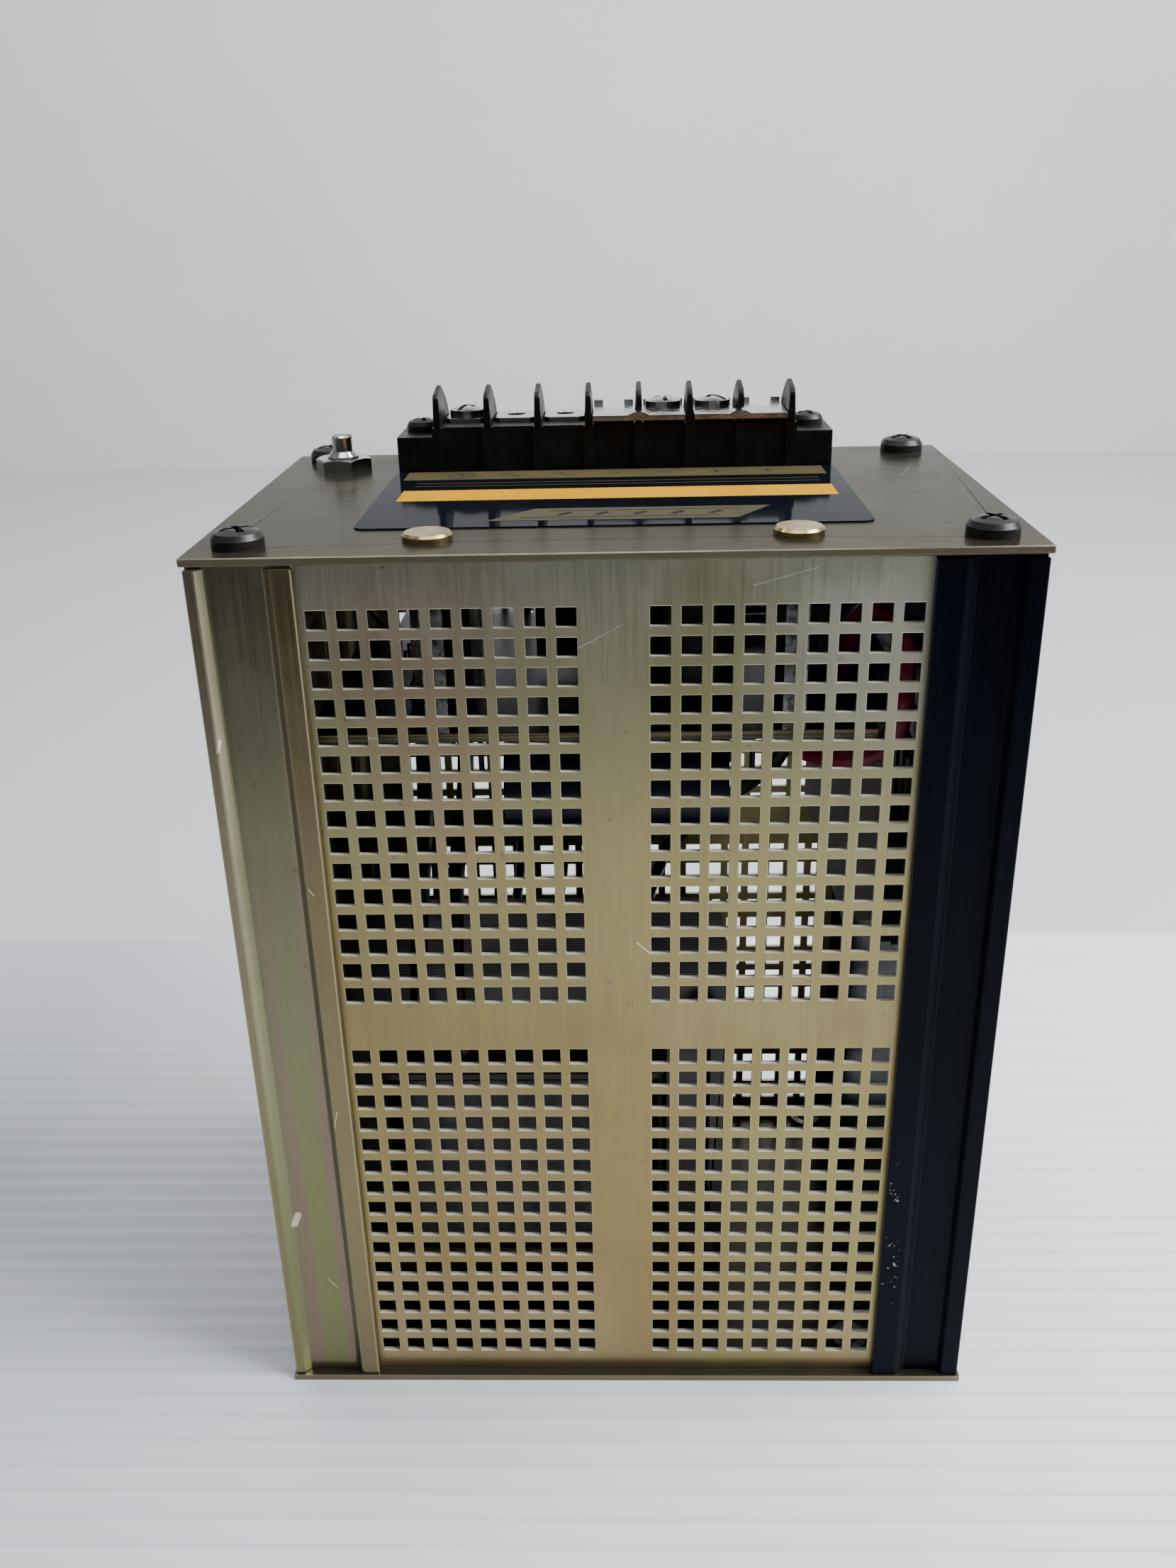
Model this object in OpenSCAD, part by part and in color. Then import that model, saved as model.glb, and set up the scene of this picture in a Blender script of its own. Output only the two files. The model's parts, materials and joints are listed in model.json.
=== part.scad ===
// Enclosed linear regulated DC power supply in an upright sheet-metal and extrusion case.
// Units are millimetres. The origin is the middle of the underside, +Z is up, and the
// perforated front cover faces -Y. The terminals and the output adjuster are on top.

/* [Case] */
// Width of the end plates
case_w = 129; // [128:0.5:132]
// Depth of the end plates
case_d = 86; // [85.5:0.5:90]
// Height over both end plates
case_h = 163.5; // [162:0.5:168]
// Thickness of the end plates
plate_t = 1.3; // [1.1:0.1:1.6]
// Width of each side extrusion's front and back flange
flange_w = 16.3; // [16.1:0.1:16.5]

/* [Perforated covers] */
// Pitch of the square perforation
hole_pitch = 4.7625; // [4.7:0.01:4.8]
// Side of each square hole
hole_size = 3.175; // [2.6:0.05:3.4]
// Columns in each block of holes
block_cols = 9; // [4:1:9]
// Rows in each block of holes
block_rows = 15; // [6:1:15]
// Plain band between the upper and lower blocks, hole centre to hole centre
row_gap = 12.7; // [8:0.1:13]
// Distance from the middle of the case down to the middle of the pattern
pattern_drop = 1.7; // [0:0.1:2]
// Thickness of the cover sheet
cover_t = 1.0; // [0.8:0.05:1.1]

/* [Terminal block] */
// Number of terminals
terminals = 7; // [7:1:7]
// Spacing of the terminals
terminal_pitch = 9.525; // [9.4:0.025:9.6]
// Depth of the block from front to back
block_d = 19.8; // [19:0.1:20]
// Height of the deck that carries the terminals
deck_h = 8.35; // [8:0.05:9]
// Height of the barriers
fin_h = 15.4; // [15.2:0.1:16.5]

/* [Output adjuster] */
// Diameter of the adjuster's shaft
shaft_d = 3.9; // [3.2:0.1:4.2]
// Height of the shaft above the top plate
shaft_h = 6.4; // [6:0.1:9]

/* [Transformer] */
// Width of the laminated core
core_w = 82; // [78:0.5:82]
// Height of the laminated core
core_h = 70; // [66:0.5:72]
// Thickness of the stack of laminations
core_stack = 32; // [28:0.5:32]

/* [Hidden] */

$fn = 48;
eps = 0.01;

// Heights of the inner faces of the end plates
inner_bottom = plate_t;
inner_top = case_h - plate_t;
inner_h = inner_top - inner_bottom;

// Side extrusions: the plates overhang them by this much all round
overhang = 0.4;
rail_x = case_w/2 - overhang;
rail_y = case_d/2 - overhang;
// Depth of the shallow channel in each flange face
recess = 1.3;
// Guide groove for the covers: strip in front, groove, rib behind
strip_t = 1.6;
groove_w = 1.35;
groove_u = 12.4;
rib_u = 15.3;
rib_t = 1.2;
rib_back = strip_t + groove_w + rib_t;
wall_t = 1.6;
side_t = 2;
end_relief = 0.6;

// Corner screws, measured from the plate's edges
corner_x = case_w/2 - 7.4;
corner_front_y = -case_d/2 + 7.4;
corner_back_y = case_d/2 - 5.6;
corner_spots = [[-corner_x, corner_front_y], [corner_x, corner_front_y],
    [-corner_x, corner_back_y], [corner_x, corner_back_y]];
boss_r = 3.4;
screw8_r = 2;
screw8_hole_r = 2.1;
pan8_r = 4.05;
pan8_h = 2.9;

// Heatsink web and fins
web_in = 11.6;
web_out = 7.6;
corner_block = 12;
sink_fins = 9;
sink_fin_pitch = 6.1;
sink_fin_t = 1.5;

// Covers
cover_w = 2*(rail_x - groove_u - 0.2);
cover_h = inner_h - 0.5;
cover_y = -rail_y + strip_t + 0.2;
col_gap = 3*hole_pitch;
first_col = col_gap/2;
block_rows_h = (block_rows - 1)*hole_pitch;
rows_h = 2*block_rows_h + row_gap;
first_row_z = case_h/2 + rows_h/2 - pattern_drop;

// Mounting nuts in the bottom plate
mount_dx = 88.9;
mount_dy = 69.85;
mount_hole_r = 2.08;
mount_spots = [for (x = [-1, 1], y = [-1, 1]) [x*mount_dx/2, y*mount_dy/2]];

// Terminal block
block_l = terminals*terminal_pitch + 15.4;
block_y0 = 21.8;
tab_h = 6.7;
fin_t = 1.4;
fin_tip_t = 0.9;
rib_t_block = 2;
rib_depth = 0.8;
fin_shoulder = 14.4;
tab_screw_x = block_l/2 - 3.9;
tab_screw_y = 30.2;
terminal_y = 33;
terminal_size = 7.8;
terminal_y0 = terminal_y - 5.2;
terminal_y1 = terminal_y + 3.9;
terminal_t = 0.8;
tail_w = 3;
tail_t = 0.8;
tail_below = 6;
link_t = 1;
link_y0 = block_y0 - 0.5;
link_y1 = terminal_y1;
link_d = link_y1 - link_y0;
link_bar_d = 5.6;
window_h = 2.8;
screw6_r = 1.7;
screw6_hole_r = 1.75;
binder_r = 3.4;
// First terminal is the earth, then neutral, line, minus, minus sense, plus sense, plus
function terminal_x(i) = (i - (terminals - 1)/2)*terminal_pitch;
function fin_x(i) = (i - terminals/2)*terminal_pitch;
earth = 0;
minus_sense = 4;
plus_sense = 5;

// Output adjuster
pot_x = -52.9;
pot_y = 28.5;
pot_r = 5.6;
pot_h = 9.5;
pot_wall = 0.8;
bushing_r = 3.1;
bushing_bore_r = shaft_d/2 + 0.05;
nut_af = 9.5;
nut_h = 2.2;
pot_floor = inner_top - pot_h;

// Circuit board
board_t = 1.6;
board_z = 131;
board_top = board_z + board_t;
board_w = 100;
board_d = 72;
rivet_x = 28.5;
rivet_y = -32.7;
rivet_r = 3.95;
rivet_h = 1.2;
standoff_spots = [[-rivet_x, rivet_y], [rivet_x, rivet_y],
    [-tab_screw_x, tab_screw_y], [tab_screw_x, tab_screw_y]];
standoff_af = 6.35;
thread_r = 1.65;
shank_r = 1.6;

// Label on the top plate
label_w = 82.8;
label_y0 = -26.1;
label_y1 = block_y0 - 0.3;
label_t = 0.25;

// Transformer
core_x = -19.2;
core_y = 4;
core_z = inner_bottom + 0.2 + core_h/2;
leg_w = 28;
outer_leg = 13;
window_w = (core_w - leg_w - 2*outer_leg)/2;
yoke = 13;
window_z = core_h - 2*yoke;
core_bolt_x = core_w/2 - 6;
core_bolt_z = core_h/2 - 6;
core_bolt_r = 2;
bobbin_wall = 1.2;
bobbin_gap = 0.2;
bobbin_w = leg_w + 2*(window_w - 0.4);
bobbin_d = core_stack + 24.6;
bobbin_h = window_z - 0.4;
winding_w = bobbin_w - 2;
winding_d = bobbin_d - 2;
wrap_t = 0.5;
bracket_t = 1.5;
bracket_l = core_w - 4;
foot_d = 9;
foot_x = [core_x - 24, core_x + 24];
foot_y = [core_y - core_stack/2 - 6, core_y + core_stack/2 + 6];
front_face_y = core_y - core_stack/2;
back_face_y = core_y + core_stack/2;

// Power transistors on the inner face of the heatsink web
sink_face_x = rail_x - web_in;
mica_t = 0.2;
transistor_z = 96;
transistor_y = [-15.25, 15.25];
card_x = 39.5;
card_y = -27.5;
card_w = 6.5;
card_d = 54;

// ---------------------------------------------------------------- fasteners

// Recess of a cross-point driver, cut from the top of a head
module cross_recess(size, width, depth) {
    for (a = [0, 90]) rotate([0, 0, a])
        translate([-size/2, -width/2, -depth]) cube([size, width, depth + 1]);
}

// Pan head screw, seated at z = 0 with its shank hanging down: upright side, sloping
// shoulder and a shallow crown
module pan_screw(head_r, head_h, r, length) {
    side = head_h*0.5;
    rim = head_h*0.8;
    difference() {
        union() {
            cylinder(h = side, r = head_r);
            translate([0, 0, side]) cylinder(h = rim - side, r1 = head_r, r2 = head_r*0.86);
            translate([0, 0, rim]) cylinder(h = head_h - rim, r1 = head_r*0.86, r2 = head_r*0.45);
            translate([0, 0, -length]) cylinder(h = length + eps, r = r);
        }
        translate([0, 0, head_h]) cross_recess(head_r*1.25, head_r*0.27, head_h*0.6);
    }
}

// Countersunk screw pointing up, its flat head flush with z = 0
module flat_screw(head_r, head_h, r, length) {
    difference() {
        union() {
            cylinder(h = head_h, r1 = head_r, r2 = r);
            cylinder(h = length, r = r);
        }
        rotate([180, 0, 0]) cross_recess(head_r*1.1, head_r*0.24, head_h*0.9);
    }
}

// Binding head terminal screw with a combined slot and cross
module binding_screw(length) {
    side = 1.1;
    head_h = 1.9;
    dome = head_h - side;
    sphere_r = (binder_r*binder_r + dome*dome)/(2*dome);
    difference() {
        union() {
            intersection() {
                cylinder(h = head_h, r = binder_r);
                translate([0, 0, head_h - sphere_r]) sphere(r = sphere_r);
            }
            translate([0, 0, -length]) cylinder(h = length + eps, r = screw6_r);
        }
        translate([0, 0, head_h]) cross_recess(3.6, 0.9, 1.3);
        translate([-binder_r - 1, -0.45, head_h - 0.7]) cube([2*binder_r + 2, 0.9, 2]);
    }
}

module hex_nut(af, height, bore_r) {
    difference() {
        cylinder(h = height, r = af/2/cos(30), $fn = 6);
        translate([0, 0, -1]) cylinder(h = height + 2, r = bore_r);
    }
}

// ------------------------------------------------------------------- leads

function unit(v) = v/norm(v);
// Centripetal blend of four route points gives a smooth lead
function blend(p, t) = 0.5*((2*p[1]) + (p[2] - p[0])*t + (2*p[0] - 5*p[1] + 4*p[2] - p[3])*t*t
    + (3*p[1] - p[0] - 3*p[2] + p[3])*t*t*t);
function smooth(pts, steps) = let (n = len(pts) - 1) concat(
    [for (i = [0:n - 1], s = [0:steps - 1])
        blend([pts[max(i - 1, 0)], pts[i], pts[i + 1], pts[min(i + 2, n)]], s/steps)],
    [pts[n]]);
function tangent(p, i) = unit(p[min(i + 1, len(p) - 1)] - p[max(i - 1, 0)]);
function ring(c, t, side, r, sides) = let (a = unit(cross(t, side)), b = cross(a, t))
    [for (k = [0:sides - 1]) c + r*(a*cos(360*k/sides) + b*sin(360*k/sides))];

// Round lead swept along a smooth route; side is a direction the route never follows
module lead(route, r, side = [1, 0, 0], steps = 4) {
    sides = 8;
    path = smooth(route, steps);
    n = len(path);
    points = [for (i = [0:n - 1]) each ring(path[i], tangent(path, i), side, r, sides)];
    walls = [for (i = [0:n - 2], k = [0:sides - 1]) let (j = (k + 1) % sides)
        each [[i*sides + k, i*sides + j, (i + 1)*sides + j],
            [i*sides + k, (i + 1)*sides + j, (i + 1)*sides + k]]];
    start = [for (k = [1:sides - 2]) [0, k + 1, k]];
    finish = [for (k = [1:sides - 2]) [(n - 1)*sides, (n - 1)*sides + k, (n - 1)*sides + k + 1]];
    polyhedron(points = points, faces = concat(walls, start, finish));
}

// -------------------------------------------------------------- end plates

module plate_blank() {
    translate([-case_w/2, -case_d/2, 0]) cube([case_w, case_d, plate_t]);
}

module bottom_plate() {
    color("darkkhaki") difference() {
        plate_blank();
        for (p = corner_spots) translate([p[0], p[1], -eps]) {
            cylinder(h = plate_t + 1, r = screw8_hole_r);
            cylinder(h = plate_t, r1 = 3.7, r2 = screw8_hole_r);
        }
        for (p = mount_spots) translate([p[0], p[1], -1]) cylinder(h = plate_t + 2, r = 2.6);
        for (x = foot_x, y = foot_y) translate([x, y, -eps]) {
            cylinder(h = plate_t + 1, r = screw8_hole_r);
            cylinder(h = plate_t, r1 = 3.7, r2 = screw8_hole_r);
        }
    }
}

module top_plate() {
    color("tan") translate([0, 0, inner_top]) difference() {
        plate_blank();
        for (p = corner_spots) translate([p[0], p[1], -1]) cylinder(h = plate_t + 2, r = screw8_hole_r);
        for (p = standoff_spots) translate([p[0], p[1], -1]) cylinder(h = plate_t + 2, r = 1.8);
        translate([pot_x, pot_y, -1]) cylinder(h = plate_t + 2, r = bushing_r + 0.1);
        for (i = [0:terminals - 1]) translate([terminal_x(i) - 2, terminal_y1 - 1.5, -1])
            cube([4, 2.2, plate_t + 2]);
    }
}

// -------------------------------------------------------- side extrusions

// Face of a flange with its recess, cover groove and guide rib. u runs inwards from the
// outer side, v runs back from the front plane.
function flange_face(lip, slope_a, floor_w, slope_b) = [[0, 0], [lip, 0], [lip + slope_a, recess],
    [lip + slope_a + floor_w, recess], [lip + slope_a + floor_w + slope_b, 0], [flange_w, 0],
    [flange_w, strip_t], [groove_u, strip_t], [groove_u, strip_t + groove_w],
    [rib_u, strip_t + groove_w], [rib_u, rib_back]];

left_flange = concat(flange_face(1.6, 1.3, 8.9, 1.3),
    [[10.4, rib_back], [10.4, recess + wall_t], [side_t, recess + wall_t], [side_t, corner_block],
    [0, corner_block]]);
right_flange = concat(flange_face(3, 0.8, 6.4, 1.7),
    [[web_in, rib_back], [web_in, corner_block], [0, corner_block]]);

// The two flanges of one extrusion, outer side at u = 0
module flange_pair(outline) {
    for (side = [0, 1]) mirror([0, side, 0]) difference() {
        translate([0, -rail_y, 0]) linear_extrude(inner_h) polygon(outline);
        translate([-1, -rail_y - 1, inner_h - end_relief]) cube([flange_w + 2, 1 + recess, 1]);
    }
}

module screw_channels(x) {
    for (y = [corner_front_y, corner_back_y])
        translate([x, y, -1]) cylinder(h = inner_h + 2, r = screw8_r + 0.05);
}

module left_rail() {
    boss_u = rail_x - corner_x;
    color("darkkhaki") translate([-rail_x, 0, inner_bottom]) difference() {
        union() {
            flange_pair(left_flange);
            translate([0, -rail_y + 4, 0]) cube([side_t, 2*rail_y - 8, inner_h]);
            for (y = [corner_front_y, corner_back_y]) translate([boss_u, y, 0])
                cylinder(h = inner_h, r = boss_r);
            translate([boss_u - 1.2, -rail_y + 2, 0]) cube([2.4, 4, inner_h]);
            translate([boss_u - 1.2, rail_y - 6, 0]) cube([2.4, 4, inner_h]);
            translate([1, corner_front_y - 1.2, 0]) cube([4, 2.4, inner_h]);
            translate([1, corner_back_y - 1.2, 0]) cube([4, 2.4, inner_h]);
        }
        screw_channels(boss_u);
    }
}

module right_heatsink() {
    boss_u = rail_x - corner_x;
    color("midnightblue") translate([rail_x, 0, inner_bottom]) mirror([1, 0, 0]) difference() {
        union() {
            flange_pair(right_flange);
            translate([web_out, -rail_y + 10, 0]) cube([web_in - web_out, 2*rail_y - 20, inner_h]);
            for (i = [0:sink_fins - 1])
                translate([0.6, (i - (sink_fins - 1)/2)*sink_fin_pitch - sink_fin_t/2, 0])
                    cube([web_out, sink_fin_t, inner_h]);
        }
        screw_channels(boss_u);
        for (y = transistor_y) translate([web_out - 1, y, transistor_z + 3.5 - inner_bottom])
            rotate([0, 90, 0]) cylinder(h = 10, r = thread_r);
    }
}

// ------------------------------------------------------------------ covers

module perforated_cover() {
    difference() {
        translate([-cover_w/2, 0, 0]) cube([cover_w, cover_t, cover_h]);
        for (side = [-1, 1], c = [0:block_cols - 1], b = [0, 1], r = [0:block_rows - 1])
            translate([side*(first_col + c*hole_pitch) - hole_size/2, -1,
                first_row_z - inner_bottom - b*(block_rows_h + row_gap) - r*hole_pitch - hole_size/2])
                cube([hole_size, cover_t + 2, hole_size]);
    }
}

module front_cover() {
    color("darkkhaki") translate([0, cover_y, inner_bottom]) perforated_cover();
}

module back_cover() {
    color("darkkhaki") mirror([0, 1, 0]) translate([0, cover_y, inner_bottom]) perforated_cover();
}

// --------------------------------------------------------- case hardware

module top_screws() {
    color("black") for (p = corner_spots) translate([p[0], p[1], case_h]) rotate([0, 0, 30])
        pan_screw(pan8_r, pan8_h, screw8_r, 11);
}

module bottom_screws() {
    color("black") for (p = corner_spots) translate([p[0], p[1], 0.03])
        flat_screw(3.6, plate_t - 0.1, screw8_r, 11);
}

// Clinch nuts that take the fasteners from whatever the supply is mounted on
module mount_nuts() {
    color("silver") for (p = mount_spots) translate([p[0], p[1], 0]) difference() {
        union() {
            translate([0, 0, 0.1]) cylinder(h = plate_t, r = 2.55);
            translate([0, 0, plate_t]) cylinder(h = 2.3, r = 3.5);
        }
        translate([0, 0, -1]) cylinder(h = 6, r = mount_hole_r);
    }
}

// Wide flat rivets whose shanks are pressed into the front board standoffs
module plate_rivets() {
    edge = 0.4;
    color("gold") for (x = [-rivet_x, rivet_x]) translate([x, rivet_y, case_h]) {
        cylinder(h = rivet_h - edge, r = rivet_r);
        translate([0, 0, rivet_h - edge]) cylinder(h = edge, r1 = rivet_r, r2 = rivet_r - edge);
        translate([0, 0, -7]) cylinder(h = 7 + eps, r = shank_r);
    }
}

module label() {
    corner = 2;
    color("black") translate([0, 0, case_h]) {
        translate([-label_w/2 + corner, label_y0, 0])
            cube([label_w - 2*corner, label_y1 - label_y0, label_t]);
        translate([-label_w/2, label_y0 + corner, 0])
            cube([label_w, label_y1 - label_y0 - 2*corner, label_t]);
        for (x = [-1, 1], y = [label_y0 + corner, label_y1 - corner])
            translate([x*(label_w/2 - corner), y, 0]) cylinder(h = label_t, r = corner);
    }
}

// --------------------------------------------------------- terminal block

// Outline of a barrier above the deck: a straight front edge, a slight rise to the peak and
// a rounded fall to the deck. Each step of the fall is a share of its depth and height.
peak_y = 6.3;
fall_y = 15.3;
fall_steps = [[0.26, 0.88], [0.48, 0.71], [0.68, 0.53], [0.81, 0.36], [0.89, 0.18], [1, 0]];
barrier = concat([[0, deck_h], [0, fin_shoulder - 0.8], [0.7, fin_shoulder], [peak_y, fin_h]],
    [for (f = fall_steps) [peak_y + (fall_y - peak_y)*f[0], deck_h + (fin_h - deck_h)*f[1]]]);

module terminal_block() {
    color("black") translate([0, block_y0, case_h]) difference() {
        union() {
            translate([-block_l/2, 0, 0]) cube([block_l, block_d, tab_h]);
            translate([fin_x(0) - fin_t/2, rib_depth, 0])
                cube([terminals*terminal_pitch + fin_t, block_d - rib_depth, deck_h]);
            for (i = [0:terminals]) translate([fin_x(i) - rib_t_block/2, 0, 0])
                cube([rib_t_block, rib_depth + 1, deck_h]);
        }
        for (i = [0:terminals - 1]) {
            translate([terminal_x(i) - (terminal_pitch - rib_t_block)/2, -1, -1])
                cube([terminal_pitch - rib_t_block, 1 + rib_depth, deck_h + 2]);
            translate([terminal_x(i), terminal_y - block_y0, 1.5])
                cylinder(h = deck_h, r = screw6_r + 0.4);
            translate([terminal_x(i) - tail_w/2 - 0.1, terminal_y1 - tail_t - block_y0 - 0.1, -1])
                cube([tail_w + 0.2, tail_t + 0.2, deck_h + 2]);
        }
        for (x = [-1, 1]) translate([x*tab_screw_x, tab_screw_y - block_y0, -1])
            cylinder(h = 20, r = 1.75);
    }
}

// Barriers of the same moulding, thinner towards the tip; two are notched where a link passes
module terminal_barriers() {
    color("black") translate([0, block_y0, case_h]) difference() {
        for (i = [0:terminals]) translate([fin_x(i), 0, 0]) intersection() {
            translate([-fin_t/2, 0, 0]) rotate([90, 0, 90]) linear_extrude(fin_t) polygon(barrier);
            translate([0, block_d + 1, 0]) rotate([90, 0, 0]) linear_extrude(block_d + 2)
                polygon([[-fin_t/2, 0], [fin_t/2, 0], [fin_t/2, deck_h], [fin_tip_t/2, fin_h + 0.1],
                    [-fin_tip_t/2, fin_h + 0.1], [-fin_t/2, deck_h]]);
        }
        for (i = [4, 6]) translate([fin_x(i) - 2, -1, deck_h - 1])
            cube([4, 1 + link_y0 + link_bar_d - block_y0 + 0.3, window_h + 1]);
    }
}

module terminal_plates() {
    bevel = 0.9;
    half = terminal_size/2;
    front = terminal_y0 - terminal_y;
    back = terminal_y1 - terminal_y;
    color("silver") for (i = [0:terminals - 1])
        translate([terminal_x(i), terminal_y, case_h + deck_h]) difference() {
            union() {
                linear_extrude(terminal_t) polygon([[-half, back], [-half, front + bevel],
                    [-half + bevel, front], [half - bevel, front], [half, front + bevel], [half, back]]);
                translate([-tail_w/2, back - tail_t, -deck_h - tail_below])
                    cube([tail_w, tail_t, deck_h + tail_below + eps]);
            }
            translate([0, 0, -1]) cylinder(h = 4, r = screw6_hole_r);
        }
}

module terminal_screw(i, seat, turn) {
    color("silver") translate([terminal_x(i), terminal_y, case_h + seat]) rotate([0, 0, turn])
        binding_screw(5.8);
}

module ground_screw() {
    terminal_screw(earth, deck_h + terminal_t, 62);
}

module minus_sense_screw() {
    terminal_screw(minus_sense, deck_h + terminal_t + link_t, 100);
}

module plus_sense_screw() {
    terminal_screw(plus_sense, deck_h + terminal_t + link_t, -38);
}

// Flat link over two terminals: a bar in front of the barrier with a fork at each terminal,
// the fork tips turned up
module shorting_link(first) {
    length = terminal_pitch + terminal_size;
    slot = 4;
    barrier_slot = 2;
    tip_h = 0.9;
    tip_w = 1.75;
    tip_t = 0.8;
    hump_w = 4.2;
    hump_h = 0.5;
    x0 = terminal_x(first) - terminal_size/2;
    color("silver") translate([x0, link_y0, case_h + deck_h + terminal_t]) {
        difference() {
            cube([length, link_d, link_t]);
            for (x = [terminal_size/2, terminal_size/2 + terminal_pitch]) {
                translate([x - slot/2, terminal_y - link_y0, -1]) cube([slot, link_d, 4]);
                translate([x, terminal_y - link_y0, -1]) cylinder(h = 4, r = slot/2);
            }
            translate([length/2 - barrier_slot/2, link_bar_d, -1]) cube([barrier_slot, link_d, 4]);
        }
        for (x = [0, (length - barrier_slot)/2 - tip_w, (length + barrier_slot)/2, length - tip_w])
            translate([x, link_d - tip_t, link_t - eps]) cube([tip_w, tip_t, tip_h]);
        translate([length/2 - hump_w/2, 3, link_t - eps]) rotate([90, 0, 0]) linear_extrude(3)
            polygon([[0, 0], [hump_w, 0], [hump_w*0.75, hump_h], [hump_w*0.25, hump_h]]);
    }
}

module minus_link() {
    shorting_link(3);
}

module plus_link() {
    shorting_link(5);
}

module block_screws() {
    color("black") for (x = [-1, 1]) translate([x*tab_screw_x, tab_screw_y, case_h + tab_h])
        rotate([0, 0, 20]) pan_screw(3.05, 2.3, shank_r, tab_h + plate_t + 7);
}

// --------------------------------------------------------- output adjuster

module pot_housing() {
    color("dimgray") translate([pot_x, pot_y, pot_floor]) {
        difference() {
            cylinder(h = pot_h, r = pot_r);
            translate([0, 0, pot_wall]) cylinder(h = pot_h - 2*pot_wall - 1.4, r = pot_r - pot_wall);
            translate([0, 0, 2]) cylinder(h = pot_h, r = bushing_bore_r + 0.05);
        }
        for (dx = [-3, 0, 3]) translate([dx - 0.5, -pot_r - 2.2, 1])
            cube([1, 3, 0.5]);
    }
}

module pot_bushing() {
    cone_h = 0.9;
    above = nut_h + 0.3;
    color("silver") translate([pot_x, pot_y, inner_top]) difference() {
        union() {
            cylinder(h = plate_t + above, r = bushing_r);
            translate([0, 0, plate_t + above])
                cylinder(h = cone_h, r1 = bushing_r - 0.15, r2 = bushing_bore_r + 0.15);
        }
        translate([0, 0, -1]) cylinder(h = 12, r = bushing_bore_r);
    }
}

module pot_nut() {
    chamfer = 0.4;
    corner_r = nut_af/2/cos(30);
    color("silver") translate([pot_x, pot_y, case_h]) rotate([0, 0, -4]) difference() {
        intersection() {
            cylinder(h = nut_h, r = corner_r, $fn = 6);
            union() {
                cylinder(h = nut_h - chamfer, r = corner_r + 1);
                translate([0, 0, nut_h - chamfer])
                    cylinder(h = chamfer, r1 = corner_r + 0.1, r2 = corner_r - 0.7);
            }
        }
        translate([0, 0, -1]) cylinder(h = nut_h + 2, r = bushing_r + 0.03);
    }
}

module pot_shaft() {
    edge = 0.35;
    length = case_h + shaft_h - pot_floor - 3.2;
    color("silver") translate([pot_x, pot_y, pot_floor + 3.2]) difference() {
        union() {
            cylinder(h = length - edge, r = shaft_d/2);
            translate([0, 0, length - edge]) cylinder(h = edge, r1 = shaft_d/2, r2 = shaft_d/2 - edge);
        }
        translate([-3, -0.35, length - 0.6]) cube([6, 0.7, 1]);
    }
}

// Disc and wiper arm that turn with the shaft
module pot_rotor() {
    color("peru") translate([pot_x, pot_y, pot_floor + 1.7]) {
        cylinder(h = 1.5, r = 2.6);
        translate([-0.6, 0, 0]) cube([1.2, 4.3, 0.5]);
    }
}

// Open ring of resistance material on the floor of the housing
module pot_track() {
    color("saddlebrown") translate([pot_x, pot_y, pot_floor + pot_wall]) difference() {
        cylinder(h = 0.6, r = 4.6);
        translate([0, 0, -1]) cylinder(h = 3, r = 3.1);
        translate([-1.5, -6, -1]) cube([3, 5, 3]);
    }
}

// ----------------------------------------------------------- circuit board

module board_standoffs() {
    length = inner_top - board_top;
    color("silver") for (p = standoff_spots) translate([p[0], p[1], board_top])
        hex_nut(standoff_af, length, thread_r);
}

module board_screws() {
    color("silver") for (p = standoff_spots) translate([p[0], p[1], board_z]) rotate([180, 0, 0])
        pan_screw(2.6, 1.9, shank_r, 9);
}

module circuit_board() {
    color("darkgreen") difference() {
        translate([-board_w/2, -board_d/2, board_z]) cube([board_w, board_d, board_t]);
        for (p = standoff_spots) translate([p[0], p[1], board_z - 1]) cylinder(h = 4, r = 1.7);
        // Corner cut for the heavy lead
        translate([board_w/2 - 8, -board_d/2 - 1, board_z - 1]) cube([9, 9, 4]);
        // Rear notches for the primary leads
        for (i = [1, 2]) translate([terminal_x(i) - 1.6, board_d/2 - 3.4, board_z - 1]) cube([3.2, 5, 4]);
        // Rear left corner cut under the adjuster
        translate([-board_w/2 - 1, board_d/2 - 12, board_z - 1]) cube([7, 13, 4]);
    }
}

// Axial part along X: body with a lead at each end, bent down to the board
module axial_part(body_l, body_r, lead_r, rise, reach) {
    run = reach - 0.6*lead_r;
    union() {
        translate([-body_l/2, 0, rise]) rotate([0, 90, 0]) cylinder(h = body_l, r = body_r);
        translate([-run, 0, rise]) rotate([0, 90, 0]) cylinder(h = 2*run, r = 0.85*lead_r);
        for (x = [-1, 1]) translate([x*(reach - lead_r), 0, 0]) cylinder(h = rise + lead_r, r = lead_r);
    }
}

module main_capacitor() {
    can_r = 9;
    can_l = 38;
    color("mediumblue") translate([0, -21, board_z - 0.05]) mirror([0, 0, 1])
        axial_part(can_l, can_r, 0.5, 12.5, 24);
}

// Upright cans on the board: a large one in front and a smaller one in each rear corner
module output_capacitors() {
    color("black") {
        translate([13, -20, board_top]) cylinder(h = 20, r = 8);
        translate([-32.5, 21, board_top]) cylinder(h = 18, r = 5.8);
        translate([42, 21.5, board_top]) cylinder(h = 18, r = 5.3);
    }
}

module film_capacitors() {
    color("olive") {
        translate([-29.5, -27, board_top]) cube([6, 16, 21]);
        translate([26, -25, board_top]) cube([9, 14, 19]);
    }
}

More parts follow.
